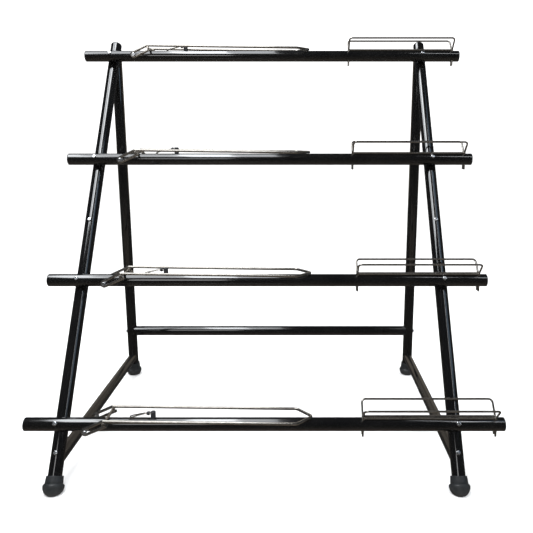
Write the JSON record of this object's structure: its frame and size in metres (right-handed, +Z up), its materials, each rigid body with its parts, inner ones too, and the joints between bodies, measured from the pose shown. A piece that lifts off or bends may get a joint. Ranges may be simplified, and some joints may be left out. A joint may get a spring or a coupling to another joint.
{
  "type": "dumbbell rack",
  "caption": "Free-standing A-frame rack of black tube whose stepped rails each carry a swinging wire arm, a small stop and a wire cradle.",
  "frame": {"origin": "on the floor, midway between the ends of the rails and between the front and rear feet", "axes": "+X to the right along the rails, +Y from the front towards the back, +Z up"},
  "size_m": [1.132, 0.72, 1.101],
  "materials": {
    "black_gloss_paint": "gloss powder coat",
    "chrome_wire": "bright plated wire",
    "bright_zinc": "bright zinc",
    "plain_steel": "turned",
    "foot_rubber": "matt moulded",
    "stop_rubber": "satin moulded",
    "black_plastic": "moulded"
  },
  "bodies": {
    "frame": {"apex_inserts": "plain_steel", "apex_screws": "bright_zinc", "arm_pivot_pins": "bright_zinc", "base_front_inserts": "plain_steel", "base_front_screws": "bright_zinc", "base_rear_inserts": "plain_steel", "base_rear_screws": "bright_zinc", "base_tube_left": "black_gloss_paint", "base_tube_right": "black_gloss_paint", "cradle_floor_wires_1": "chrome_wire", "cradle_floor_wires_2": "chrome_wire", "cradle_floor_wires_3": "chrome_wire", "cradle_floor_wires_4": "chrome_wire", "cradle_front_wire_1": "chrome_wire", "cradle_front_wire_2": "chrome_wire", "cradle_front_wire_3": "chrome_wire", "cradle_front_wire_4": "chrome_wire", "cradle_rear_wire_1": "chrome_wire", "cradle_rear_wire_2": "chrome_wire", "cradle_rear_wire_3": "chrome_wire", "cradle_rear_wire_4": "chrome_wire", "crossbar_inserts": "plain_steel", "crossbar_screws": "bright_zinc", "foot_front_left": "foot_rubber", "foot_front_right": "foot_rubber", "foot_rear_left": "foot_rubber", "foot_rear_right": "foot_rubber", "front_post_left": "black_gloss_paint", "front_post_right": "black_gloss_paint", "post_nuts": "plain_steel", "post_top_plugs": "black_plastic", "rail_1": "black_gloss_paint", "rail_2": "black_gloss_paint", "rail_3": "black_gloss_paint", "rail_4": "black_gloss_paint", "rail_end_plugs": "black_plastic", "rail_screws": "bright_zinc", "rear_crossbar": "black_gloss_paint", "rear_post_left": "black_gloss_paint", "rear_post_right": "black_gloss_paint", "spare_hole_screws": "bright_zinc", "stop_rubbers_1": "stop_rubber", "stop_rubbers_2": "stop_rubber", "stop_rubbers_3": "stop_rubber", "stop_rubbers_4": "stop_rubber", "stop_wire_1": "chrome_wire", "stop_wire_2": "chrome_wire", "stop_wire_3": "chrome_wire", "stop_wire_4": "chrome_wire"},
    "arm_1": {"arm_wire_1": "chrome_wire", "arm_cross_rod_1": "chrome_wire"},
    "arm_2": {"arm_wire_2": "chrome_wire", "arm_cross_rod_2": "chrome_wire"},
    "arm_3": {"arm_wire_3": "chrome_wire", "arm_cross_rod_3": "chrome_wire"},
    "arm_4": {"arm_wire_4": "chrome_wire", "arm_cross_rod_4": "chrome_wire"}
  },
  "joints": [
    {"name": "arm_1_swing", "type": "hinge", "parent": "frame", "child": "arm_1", "pos_m": [-0.411, -0.28948, 0.147], "axis": [0, -1, 0], "range_deg": [0, 131]},
    {"name": "arm_2_swing", "type": "hinge", "parent": "frame", "child": "arm_2", "pos_m": [-0.411, -0.09948, 0.448], "axis": [0, -1, 0], "range_deg": [0, 131]},
    {"name": "arm_3_swing", "type": "hinge", "parent": "frame", "child": "arm_3", "pos_m": [-0.411, 0.09052, 0.749], "axis": [0, -1, 0], "range_deg": [0, 131]},
    {"name": "arm_4_swing", "type": "hinge", "parent": "frame", "child": "arm_4", "pos_m": [-0.411, 0.28052, 1.05], "axis": [0, -1, 0], "range_deg": [0, 131]}
  ]
}
